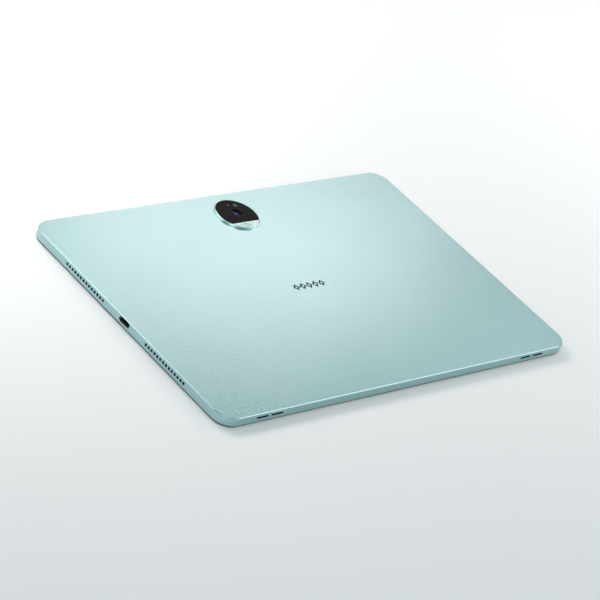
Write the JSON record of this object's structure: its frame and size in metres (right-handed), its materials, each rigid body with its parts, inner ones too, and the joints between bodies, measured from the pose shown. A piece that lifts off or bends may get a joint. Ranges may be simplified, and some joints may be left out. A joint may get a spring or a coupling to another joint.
{
  "type": "tablet computer",
  "caption": "Slim slate tablet computer: aluminium back with a round camera island, full-face display, side speakers, USB-C socket, power key and volume rocker.",
  "frame": {"origin": "centre of the display glass's outer face, which is the face the tablet lies on", "axes": "+Z points out of the back; +X runs along the long side, away from the USB-C socket; +Y points to the long side that the camera island is near"},
  "size_m": [0.2774, 0.1796, 0.0076],
  "materials": {
    "mint_aluminium": "satin anodised",
    "mint_polished": "polished",
    "emblem_grey": "satin",
    "island_glass": "polished black",
    "accent_pearl": "pearlescent marbled",
    "lens_metal": "dark polished",
    "lens_glass": "coated",
    "diffuser": "frosted",
    "display_glass": "polished black",
    "black_plastic": "fine",
    "adhesive": "matt",
    "clear_adhesive": "clear",
    "lcd_glass": "polished",
    "white_film": "soft",
    "light_guide": "clear, dotted",
    "steel": "rolled",
    "flex_amber": "polyimide",
    "board_laminate": "solder mask",
    "chip_epoxy": "moulded",
    "pouch_foil": "black pouch",
    "gold_contact": "plated",
    "magnet_nickel": "nickel plated",
    "mesh_fabric": "woven",
    "thermal_grey": "soft",
    "graphite": "graphite",
    "cable_black": "matt"
  },
  "bodies": {
    "tablet": {"antenna_cables": "cable_black", "backlight_tray": "steel", "battery_adhesive": "adhesive", "battery_cell_left": "pouch_foil", "battery_cell_right": "pouch_foil", "battery_flex": "flex_amber", "battery_guard_board": "board_laminate", "bezel_frame": "black_plastic", "board_chips": "chip_epoxy", "board_connectors": "chip_epoxy", "board_screws": "steel", "camera_accent_inlay": "accent_pearl", "camera_cover_glass": "island_glass", "camera_flex": "flex_amber", "camera_trim_ring": "mint_polished", "cover_magnets": "magnet_nickel", "display_driver_board": "flex_amber", "display_flex": "flex_amber", "display_tape": "adhesive", "edge_speakers": "black_plastic", "flash_board": "board_laminate", "flash_lens": "diffuser", "front_camera": "black_plastic", "front_camera_lens": "lens_glass", "front_glass": "display_glass", "graphite_sheet": "graphite", "key_brackets": "steel", "key_flex": "flex_amber", "key_switches": "steel", "lcd_panel": "lcd_glass", "led_strip": "flex_amber", "lens_trim_ring": "lens_metal", "lens_window": "lens_glass", "light_guide": "light_guide", "main_board": "board_laminate", "main_flex_cable": "flex_amber", "microphone_boots": "adhesive", "microphones": "steel", "optical_adhesive": "clear_adhesive", "optical_films": "white_film", "rear_camera_body": "black_plastic", "rear_camera_lens": "lens_glass", "rear_emblem": "emblem_grey", "rear_housing": "mint_aluminium", "sensor_window": "diffuser", "shield_cans": "steel", "side_speakers": "black_plastic", "speaker_cones": "thermal_grey", "speaker_flex": "flex_amber", "speaker_meshes": "mesh_fabric", "speaker_screws": "steel", "thermal_pads": "thermal_grey", "usb_board": "board_laminate", "usb_contacts": "gold_contact", "usb_receptacle": "steel", "usb_tongue": "black_plastic", "wifi_antennas": "black_plastic"},
    "power_key": {"power_button": "mint_aluminium"},
    "volume_key": {"volume_rocker": "mint_aluminium"}
  },
  "joints": [
    {"name": "power_press", "type": "slide", "parent": "tablet", "child": "power_key", "axis": [-1, 0, 0], "range_m": [0, 0.0003], "stiffness_N_per_m": 6000},
    {"name": "volume_rock", "type": "hinge", "parent": "tablet", "child": "volume_key", "pos_m": [0.076, 0.08655, 0.00395], "axis": [0, 0, 1], "range_deg": [-1.4, 1.4], "stiffness_Nm_per_rad": 0.6}
  ]
}
